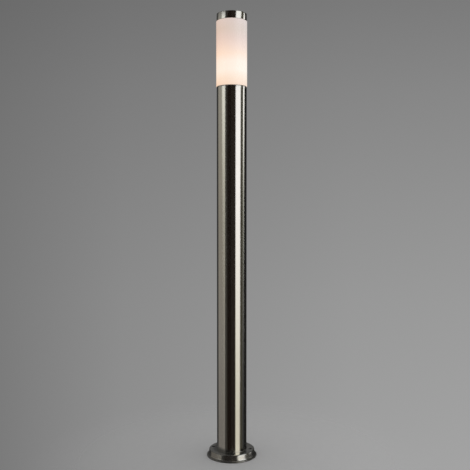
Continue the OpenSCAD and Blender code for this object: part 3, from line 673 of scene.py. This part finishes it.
def head():
    """Everything that lifts off: seals, collar, opal cylinder, cap and its plug."""
    seal_r, seal_top = POST_R - 0.4, RIM_Z + 0.57
    turned("head_gasket", "black_rubber", "head_seal", 256, rounded([
        (POST_IN_R, RIM_Z, 0.15), (seal_r, RIM_Z, 0.25),
        (seal_r, seal_top, 0.25), (POST_IN_R, seal_top, 0.15)]))

    neck_r, bore_r = 33.2, 31.2
    fit_r = POST_IN_R - 0.1                        # slides inside the tube
    turned("head_collar", "collar_aluminium", "head", 256, rounded([
        (bore_r, NECK_Z, 0.5), (neck_r, NECK_Z, 0.6), (neck_r, RIM_Z - 7.4, 0.6),
        (neck_r + 0.8, RIM_Z - 7, 0.4), (fit_r, RIM_Z - 7, 0.5), (fit_r, RIM_Z + 0.6, 0.1),
        (POST_R - 0.5, RIM_Z + 0.6, 0.15), (POST_R - 0.5, OPAL_Z0 - 0.5, 0.15),
        (OPAL_IN_R - 0.75, OPAL_Z0 - 0.5, 0.2), (OPAL_IN_R - 0.75, OPAL_Z0 + 8.5, 0.5),
        (OPAL_IN_R - 2.9, OPAL_Z0 + 8.5, 0.5), (OPAL_IN_R - 2.9, OPAL_Z0 + 1, 0.8),
        (bore_r, OPAL_Z0 - 1, 0.8)]))

    turned("glass_gasket", "white_silicone", "head", 256, rounded([
        (OPAL_IN_R - 0.7, OPAL_Z0 - 0.45, 0.1), (OPAL_R - 1, OPAL_Z0 - 0.45, 0.15),
        (OPAL_R - 1, OPAL_Z0 - 0.02, 0.1), (OPAL_IN_R - 0.05, OPAL_Z0 - 0.02),
        (OPAL_IN_R - 0.05, OPAL_Z0 + 6, 0.2), (OPAL_IN_R - 0.7, OPAL_Z0 + 6, 0.2)]))

    cylinder = rounded([(OPAL_IN_R, OPAL_Z0, 0.6), (OPAL_R, OPAL_Z0, 0.6),
                        (OPAL_R, OPAL_Z1, 0.6), (OPAL_IN_R, OPAL_Z1, 0.6)], steps=6)
    eighths = [OPAL_Z0 + (OPAL_Z1 - OPAL_Z0) * k / 8 for k in range(1, 8)]
    turned("diffuser", "opal_plastic", "head", 288, extra_rings(cylinder, heights=eighths))

    turned("cap_gasket", "white_silicone", "head", 256, rounded([
        (OPAL_IN_R + 0.4, OPAL_Z1, 0.1), (CAP_R - 0.2, OPAL_Z1, 0.2),
        (CAP_R - 0.2, OPAL_Z1 + 0.5, 0.2), (OPAL_IN_R + 0.4, OPAL_Z1 + 0.5, 0.1)]))

    # the cap's skirt has a soft upper edge and a crisp lower one
    skirt_r, under = CAP_R - CAP_SHEET, CAP_Z1 - CAP_SHEET
    cap = rounded([(skirt_r, CAP_Z0, 0.3), (CAP_R, CAP_Z0, 0.35), (CAP_R, CAP_Z1, 1.4),
                   (0, CAP_Z1), (0, under), (skirt_r, under, 0.4)], steps=8)
    turned("top_cap", "cap_steel", "head", 288, extra_rings(cap, radii=[6, 14, 22, 30]))

    # a seal with three round ribs
    back_r, rib_r = OPAL_IN_R - 3.5, OPAL_IN_R - 0.9
    ribs = [(back_r, OPAL_Z1 - 10.9), (rib_r, OPAL_Z1 - 10.9)]
    for r, below in ((rib_r, 9.6), (OPAL_IN_R - 0.65, 7), (rib_r, 4.4)):
        ribs += arc(r, OPAL_Z1 - below, 0.6, -60, 60, 6)
    ribs += [(rib_r, OPAL_Z1 - 3.1), (back_r, OPAL_Z1 - 3.1)]
    turned("plug_ring", "white_silicone", "head", 192, ribs)

    turned("plug_disc", "white_plastic", "head", 192, rounded([
        (2.65, OPAL_Z1 - 13, 0.3), (OPAL_IN_R - 1, OPAL_Z1 - 13, 0.6),
        (OPAL_IN_R - 1, OPAL_Z1 - 11, 0.3), (OPAL_IN_R - 3.6, OPAL_Z1 - 11, 0.2),
        (OPAL_IN_R - 3.6, OPAL_Z1 - 8, 0.5), (OPAL_IN_R - 5.2, OPAL_Z1 - 8, 0.5),
        (OPAL_IN_R - 5.2, OPAL_Z1 - 11, 0.5), (9, OPAL_Z1 - 11, 0.5),
        (8.2, OPAL_Z1 - 10.2, 0.3), (2.65, OPAL_Z1 - 10.2, 0.2)]))

    turned("cap_spider", "collar_aluminium", "head", 192, rounded([
        (2.55, OPAL_Z1 - 8, 0.3), (7, OPAL_Z1 - 8, 0.6), (7, OPAL_Z1 - 3, 1.0),
        (OPAL_IN_R - 0.8, OPAL_Z1 - 3, 0.4), (OPAL_IN_R - 0.8, OPAL_Z1 - 1, 0.3),
        (8, OPAL_Z1 - 0.5, 0.8), (7, OPAL_Z1 + 0.5, 0.8), (7, under - 1.5, 1.0),
        (10, under - 0.1, 0.1), (9.8, under - 0.02), (0, under - 0.02),
        (0, OPAL_Z1 + 9), (2.55, OPAL_Z1 + 9)]))


def lamp_bulb():
    """The lamp's dome and the flared housing below it."""
    inner_r = DOME_R - 1.2
    dome = arc(0, DOME_Z, DOME_R, -DOME_EDGE, 90, 36)[:-1]
    dome += [(0, DOME_Z + DOME_R), (0, DOME_Z + inner_r)]
    dome += arc(0, DOME_Z, inner_r, 90, -24, 36)[1:]
    turned("lamp_dome", "lamp_opal", "lamp", 192, dome)

    outside = [(13.7 + (JOIN_R - 13.7) * (1 - (1 - k / 20) ** 1.6),
                LAMP_Z + 28 + (JOIN_Z - LAMP_Z - 28.1) * k / 20) for k in range(21)]
    inside = [(JOIN_R - 3.6 - (JOIN_R - 14.1) * (1 - (1 - k / 12) ** 0.62),
               JOIN_Z - 4 - (JOIN_Z - LAMP_Z - 34) * k / 12) for k in range(1, 13)]
    collar = [(0, 7), (12.0, 7), (12.0, 26.3), (13.2, 26.3), (13.45, 26.5), (13.6, 27.2)]
    rim = [(JOIN_R - 1.6, JOIN_Z - 0.1), (JOIN_R - 1.6, JOIN_Z - 4), (JOIN_R - 3.6, JOIN_Z - 4)]
    well = [(10.5, 28), (10.5, 9), (0, 9)]
    turned("lamp_housing", "lamp_white", "lamp", 192,
           [(r, LAMP_Z + z) for r, z in collar] + outside + rim + inside
           + [(r, LAMP_Z + z) for r, z in well])


def threaded_shell(node, finish, body, outer, inner, start, length, steps, fade):
    """Thin tube with an E27 thread. outer and inner are (root, crest) radii."""
    heights = [start + length * k / steps for k in range(steps + 1)]
    profile = [(thread(*outer, E27_PITCH, z, *fade), z) for z in heights]
    profile += [(thread(*inner, E27_PITCH, z, *fade), z) for z in reversed(heights)]
    turned(node, finish, body, 120, profile, sharp=50)


def lamp_end():
    """The lamp's insulator and the contact under it."""
    turned("lamp_insulator", "lamp_black_glass", "lamp_tip", 128, rounded([
        (0, LAMP_Z + 1.6), (5.4, LAMP_Z + 1.6, 0.5), (11.2, LAMP_Z + 4.6, 0.6),
        (12, LAMP_Z + 5.4, 0.3), (12, LAMP_Z + 6.4, 0.2), (0, LAMP_Z + 6.4)]))
    turned("lamp_contact", "lamp_nickel", "lamp_tip", 96,
           [(0, LAMP_Z)] + arc(1.8, LAMP_Z + 0.7, 0.7, -90, -60, 3)
           + arc(3.6, LAMP_Z + 1, 0.85, -60, 0, 5)
           + [(4.6, LAMP_Z + 1.2), (4.6, LAMP_Z + 1.6), (0, LAMP_Z + 1.6)])


def lampholder_body():
    """Porcelain body, with a pocket on each side in x where a wire ends."""
    # radius, height above the underside, corner radius
    outline = [
        (5.2, 0, 0.3), (23, 0, 1.5), (23, 13.2, 1.4), (20.2, 15, 1.2), (19.4, 18, 1.0),
        (19.4, 32, 0.3), (20.0, 32.6, 0.3), (20.0, 35.4, 0.3), (19.4, 36, 0.3), (19.4, 47, 0.9),
        (14.3, 47, 0.9), (14.3, 17, 0.5), (6.5, 17, 0.3), (6.5, 13, 0.3), (4.4, 13, 0.3),
        (4.4, 5.5, 0.2), (5.2, 5.5, 0.2)]
    profile = rounded([(r, HOLDER_Z + z, corner) for r, z, corner in outline], steps=5)
    body = make("lampholder_body_skin", lathe(profile, 160))
    pockets = bmesh.new()
    for x in (-24, 3):
        add_box(pockets, (x, -4, HOLDER_Z + 5.8), (x + 21, 4, HOLDER_Z + 12.2), rounding=0.5)
    cut(body, pockets)
    dress(body, "porcelain", "post")


def clamp():
    """Headless screw with a hexagon socket facing back, and its nylon tip."""
    def screw_radius(z):
        ridge = thread(2.06, 2.5, 0.8, z, -1.0, 5.0)
        chamfer = min(2.05 + z * 0.9, 2.05 + (CLAMP_LENGTH - z) * 0.9)
        return lambda a: min(ridge(a), chamfer)

    heights = [CLAMP_LENGTH * k / 45 for k in range(46)]
    socket = hexagon(2.5)
    profile = [(0, 0.5), (1.5, 0.5), (1.5, 0)] + [(screw_radius(z), z) for z in heights]
    profile += [(hexagon(2.75), CLAMP_LENGTH), (socket, 3.45), (socket, 1.8), (0, 1.4)]
    turned("clamp_screw", "screw_steel", "clamp", 96, profile, sharp=30,
           matrix=towards_back(CLAMP_Y, CLAMP_Z))
    turned("clamp_screw_tip", "nylon", "clamp_tip", 64, rounded([
        (0, 0), (1.35, 0, 0.2), (1.5, 0.5, 0.1), (1.5, 1.3, 0.05), (0, 1.3)]),
        matrix=towards_back(CLAMP_TIP_Y, CLAMP_Z))


post_tube()
foot()
foot_gasket()
backing_plate()
head()
lamp_bulb()
threaded_shell("lamp_screw_shell", "lamp_nickel", "lamp", outer=(12.25, 12.98),
               inner=(11.98, 12.70), start=LAMP_Z + 5, length=21, steps=84,
               fade=(LAMP_Z + 4.2, LAMP_Z + 25.0))
threaded_shell("lampholder_shell", "brass", "post", outer=(13.62, 14.15),
               inner=(13.22, 13.78), start=HOLDER_Z + 18.5, length=25.5, steps=100,
               fade=(HOLDER_Z + 17, HOLDER_Z + 45.5))
lamp_end()
lampholder_body()
clamp()


# ------------------------------------------------------------------ wires
def heading(points, i):
    """Tangent at a point, as long as the shorter step beside it."""
    before, after = points[max(i - 1, 0)], points[min(i + 1, len(points) - 1)]
    steps = [(p - points[i]).length for p in (before, after)]
    return (after - before).normalized() * min(s for s in steps if s > 0)


def smooth_line(stations):
    """A Hermite curve through the stations, in eight steps between each pair."""
    points, out = [Vector(p) for p in stations], []
    for i in range(len(points) - 1):
        start, end = points[i], points[i + 1]
        leave, arrive = heading(points, i), heading(points, i + 1)
        for k in range(8):
            s = k / 8
            out.append(start * (2 * s ** 3 - 3 * s ** 2 + 1) + leave * (s ** 3 - 2 * s ** 2 + s)
                       + end * (3 * s ** 2 - 2 * s ** 3) + arrive * (s ** 3 - s ** 2))
    return out + [points[-1]]


def wire(node, finish, stations, segments=16):
    """A round wire along a smooth line, closed at both ends."""
    bm, points = bmesh.new(), smooth_line(stations)
    up, rings = Vector((1, 0.1, 0)), []
    for i, p in enumerate(points):
        along = (points[min(i + 1, len(points) - 1)] - points[max(i - 1, 0)]).normalized()
        up = (up - along * up.dot(along)).normalized()
        side = along.cross(up)
        ring = []
        for s in range(segments):
            a = 2 * PI * s / segments
            place = p + WIRE_R * (up * math.cos(a) + side * math.sin(a))
            ring.append(bm.verts.new(place * MM))
        rings.append(ring)
    for low, high in zip(rings, rings[1:]):
        for s in range(segments):
            t = (s + 1) % segments
            bm.faces.new((low[s], low[t], high[t], high[s]))
    bm.faces.new(rings[0])
    bm.faces.new(rings[-1])
    dress(make(node + "_skin", bm, sharp=40), finish, "post")


MIDWAY = (LOWER_Z + PLATE_Z) / 2
for node, finish, side in (("wire_live", "wire_brown", 1), ("wire_neutral", "wire_blue", -1)):
    x = 1.5 * side
    wire(node, finish, [
        (8, side * 10, LOWER_Z + 40.6), (8, side * 10, LOWER_Z + 50),
        (7, side * 8.6, LOWER_Z + 58), (x + 1.5, side * 2, LOWER_Z + 76),
        (x, 0, LOWER_Z + 90), (x, 0, MIDWAY), (x, 0, PLATE_Z - 30),
        (x, 0, HOLDER_Z - 1), (x, 0, HOLDER_Z + 3.6), (x + side * 1.5, 0, HOLDER_Z + 7.2),
        (x + side * 4.8, 0, HOLDER_Z + 9), (x + side * 9.5, 0, HOLDER_Z + 9)])
wire("wire_earth", "wire_green_yellow", [
    (8, 0, LOWER_Z + 40.6), (8, 0, LOWER_Z + 52), (7, -1.4, LOWER_Z + 62),
    (2.5, -6.5, LOWER_Z + 82), (0, -8.5, LOWER_Z + 98), (0, -8.5, MIDWAY),
    (0, -8.5, PLATE_Z - 44), (0, -11, PLATE_Z - 34), (0, -19.5, PLATE_Z - 21),
    (0, -22, PLATE_Z - 13), (0, -22, PLATE_Z - 8), (0, -22, PLATE_Z - 1.4)])

# CAD nodes still shown get the finish of their slot
slot_of = {part["node"]: part["material_slot"] for part in frame["record"]["subparts"]}
for name, node in frame["nodes"].items():
    if not node.hide_render:
        paint(node, slot_of[name])


# ------------------------------------------------------------------ stage
def floor():
    """A pale disc with painted light that makes it lighter to the right, and that fades out away
    from the foot.
    """
    disc = [(r, 0) for r in (0, 60, 150, 300, 500, 700, 900)]
    ob = make("floor", lathe(disc, 96, closed=False))
    mat = Material("floor")
    place = mat.add("ShaderNodeNewGeometry").outputs["Position"]
    level_place = mat.vector("MULTIPLY", {0: place, 1: (1, 1, 0)})
    distance = mat.vector("LENGTH", {0: level_place}, "Value")
    grain = mat.noise(scale=55.0, detail=3.0)
    # painted light: the floor's colour grows lighter towards the right of the frame
    level = mat.calc("ADD",
                     mat.span(mat.window()[0], over=(0.08, 0.92), to=(0.67, 0.95),
                              curve="LINEAR"),
                     mat.span(grain, over=(0.3, 0.7), to=(-0.006, 0.006)))
    channels = {i: mat.calc("MULTIPLY", level, tint) for i, tint in enumerate(grey(1.0))}
    colour = mat.add("ShaderNodeCombineColor", channels).outputs[0]
    diffuse = mat.add("ShaderNodeBsdfDiffuse", {"Color": colour}).outputs[0]
    clear = mat.add("ShaderNodeBsdfTransparent").outputs[0]
    fade = mat.span(distance, over=(0.13, 0.55))
    mat.surface(mat.add("ShaderNodeMixShader", {0: fade, 1: diffuse, 2: clear}))
    paint(ob, "floor")
    ob.visible_glossy = False


# Upright bands of light seen in reflections. Angles are in degrees from the camera's direction,
# positive to its right; height is the z of the reflected ray.
# (start, end), (softness of each), [(height, colour)], (lean of each with height)
PANELS = [
    ((-180, -128), (0, 6), [(0, grey(0.045))], (0, 0)),
    ((-125, -52.5), (6, 5), [
        (-0.32, (0.21, 0.193, 0.18)), (-0.2, (0.31, 0.292, 0.27)), (0, (0.33, 0.302, 0.25)),
        (0.15, (0.41, 0.385, 0.33)), (0.27, (0.43, 0.43, 0.41)),
        (0.33, (0.16, 0.155, 0.145))], (0, 0)),
    ((-70, -51.5), (8, 2.5), [
        (-0.3, grey(0.06)), (-0.13, (0.11, 0.11, 0.09)), (0, (0.10, 0.09, 0.075)),
        (0.1, (0.34, 0.34, 0.28)), (0.15, (1.04, 1.06, 0.96)), (0.27, (1.12, 1.16, 1.20)),
        (0.32, grey(0.02))], (-55, 0)),
    ((-48, -5), (4, 3), [
        (-0.3, (0.010, 0.005, 0.003)), (0, (0.006, 0.003, 0.001)),
        (0.27, (0.012, 0.007, 0.005))], (0, 0)),
    ((-46, -36), (3, 3), [(0, (0.050, 0.050, 0.045))], (0, 0)),
    ((-5, 29), (3, 2.5), [(0, (0.020, 0.015, 0.011))], (0, 0)),
    ((30, 70), (2, 2), [
        (-0.32, (0.86, 0.82, 0.66)), (-0.27, (0.88, 0.83, 0.67)), (-0.2, (1.08, 1.03, 0.87)),
        (-0.13, (1.34, 1.32, 1.25)), (0, (1.55, 1.53, 1.56)), (0.15, (1.54, 1.52, 1.56)),
        (0.27, (1.30, 1.32, 1.32))], (4, 17)),
    ((71, 95), (2.5, 3), [(0, (0.07, 0.065, 0.045))], (10, 20)),
    ((94.5, 110.5), (3, 3), [
        (-0.3, grey(0.05)), (-0.13, grey(0.12)), (0, (0.25, 0.25, 0.20)),
        (0.08, (0.8, 0.8, 0.72)), (0.15, grey(1.9)), (0.27, grey(2.0)),
        (0.32, grey(0.0))], (22, 22)),
    ((112, 180), (3, 0), [(0, grey(0.014))], (0, 0)),
]
PANEL_GAIN = 2.0                                   # keeps the ramp colours within 0 to 1


def reflections(sky, path):
    """What glossy rays see."""
    ray = sky.add("ShaderNodeTexCoord").outputs["Generated"]
    right = sky.camera_right()
    front = sky.vector("CROSS_PRODUCT", {0: right, 1: UP})
    x, y, z = sky.dot(ray, right), sky.dot(ray, front), sky.dot(ray, UP)
    angle = sky.calc("MULTIPLY", sky.calc("ARCTAN2", x, y), 180 / PI)
    angle = sky.calc("SUBTRACT", angle, sky.span(z, over=(0.19, 0.27), to=(0.0, 5.0)))
    bottom = -0.4
    height = sky.span(z, over=(bottom, 0.6), curve="LINEAR")

    def edge(at, soft, lean, to):
        leaning = sky.calc("SUBTRACT", angle, sky.calc("MULTIPLY", z, lean))
        return sky.span(leaning, over=(at - soft, at + soft), to=to)

    def panel(angles, softness, stops, leans):
        mask = None
        if angles[0] > -180:
            mask = edge(angles[0], softness[0], leans[0], to=(0.0, 1.0))
        if angles[1] < 180:
            end = edge(angles[1], softness[1], leans[1], to=(1.0, 0.0))
            mask = end if mask is None else sky.calc("MULTIPLY", mask, end)
        colour = sky.ramp(height, [(at - bottom, tuple(c / PANEL_GAIN for c in light))
                                   for at, light in stops])
        return sky.mix(mask, grey(0), colour)

    panels = [panel(*row) for row in PANELS]
    seen = panels[0]
    for light in panels[1:]:
        seen = sky.mix(1.0, seen, light, blend="ADD")
    seen = sky.vector("SCALE", {0: seen, "Scale": PANEL_GAIN})
    behind = sky.calc("MULTIPLY", sky.span(sky.calc("ABSOLUTE", angle), over=(138, 156)),
                      sky.span(z, over=(0.2, 0.3)))
    seen = sky.mix(behind, seen, grey(0.13))
    seen = sky.mix(sky.span(z, over=(0.66, 0.85)), seen, grey(0.06))

    # a reflection of a reflection sees little but the bright panel on the right
    bright = sky.calc("MULTIPLY", sky.span(angle, over=(24, 30)),
                      sky.span(angle, over=(58, 66), to=(1.0, 0.0)))
    dark = sky.mix(sky.span(angle, over=(-62, -48)), grey(0.16), grey(0.006))
    deep = sky.mix(bright, dark, (1.9, 1.85, 1.65))
    seen = sky.mix(sky.span(path["Glossy Depth"], over=(1.4, 1.6)), seen, deep)
    return sky.mix(sky.span(z, over=(-0.62, -0.5), to=(1.0, 0.0)), seen, grey(0.012))


def backdrop(sky):
    """What the camera sees: a plain grey sweep, lighter low down and to the right."""
    x, y, _ = sky.window()
    upwards = sky.ramp(y, greys((0.0, 0.312), (0.36, 0.282), (0.58, 0.2525),
                                (0.81, 0.218), (1.0, 0.181)))
    across = sky.ramp(x, greys((0.0, 0.34), (0.26, 0.45), (0.5, 0.5), (0.75, 0.558),
                               (1.0, 0.577)))
    strength = sky.span(y, over=(0.0, 1.0), to=(2.3, 1.2), curve="LINEAR")
    across = sky.calc("MULTIPLY", sky.calc("SUBTRACT", across, 0.5), strength)
    return sky.vector("SCALE", {0: upwards, "Scale": sky.calc("ADD", across, 1.0)})


def studio():
    """Soft panels seen only in reflections, and an even light for everything else."""
    world = bpy.data.worlds.new("studio")
    scene.world = world
    world.use_nodes = True
    sky = ShaderTree(world.node_tree)
    path = sky.add("ShaderNodeLightPath").outputs
    colour = sky.mix(path["Is Glossy Ray"], grey(0.41), reflections(sky, path))
    colour = sky.mix(path["Is Camera Ray"], colour, backdrop(sky))
    light = sky.add("ShaderNodeBackground", {"Color": colour, "Strength": 1.0})
    sky.add("ShaderNodeOutputWorld", {0: light.outputs[0]})


def camera():
    lens = bpy.data.cameras.new("camera")
    lens.sensor_width, lens.lens = 36.0, 53.127
    lens.clip_start, lens.clip_end = 0.05, 20
    ob = bpy.data.objects.new("camera", lens)
    distance, side, height = 1.7717, 0.0084, 0.636                 # metres
    x, y = [TO_CAMERA[i] * distance + RIGHT[i] * side for i in (0, 1)]
    ob.location = (x, y, height)
    ob.rotation_euler = (math.radians(90 - 2.19), 0, CAMERA_TURN)
    scene.collection.objects.link(ob)
    scene.camera = ob


floor()
studio()
camera()
scene.view_settings.view_transform = "Standard"
scene.view_settings.look = "None"
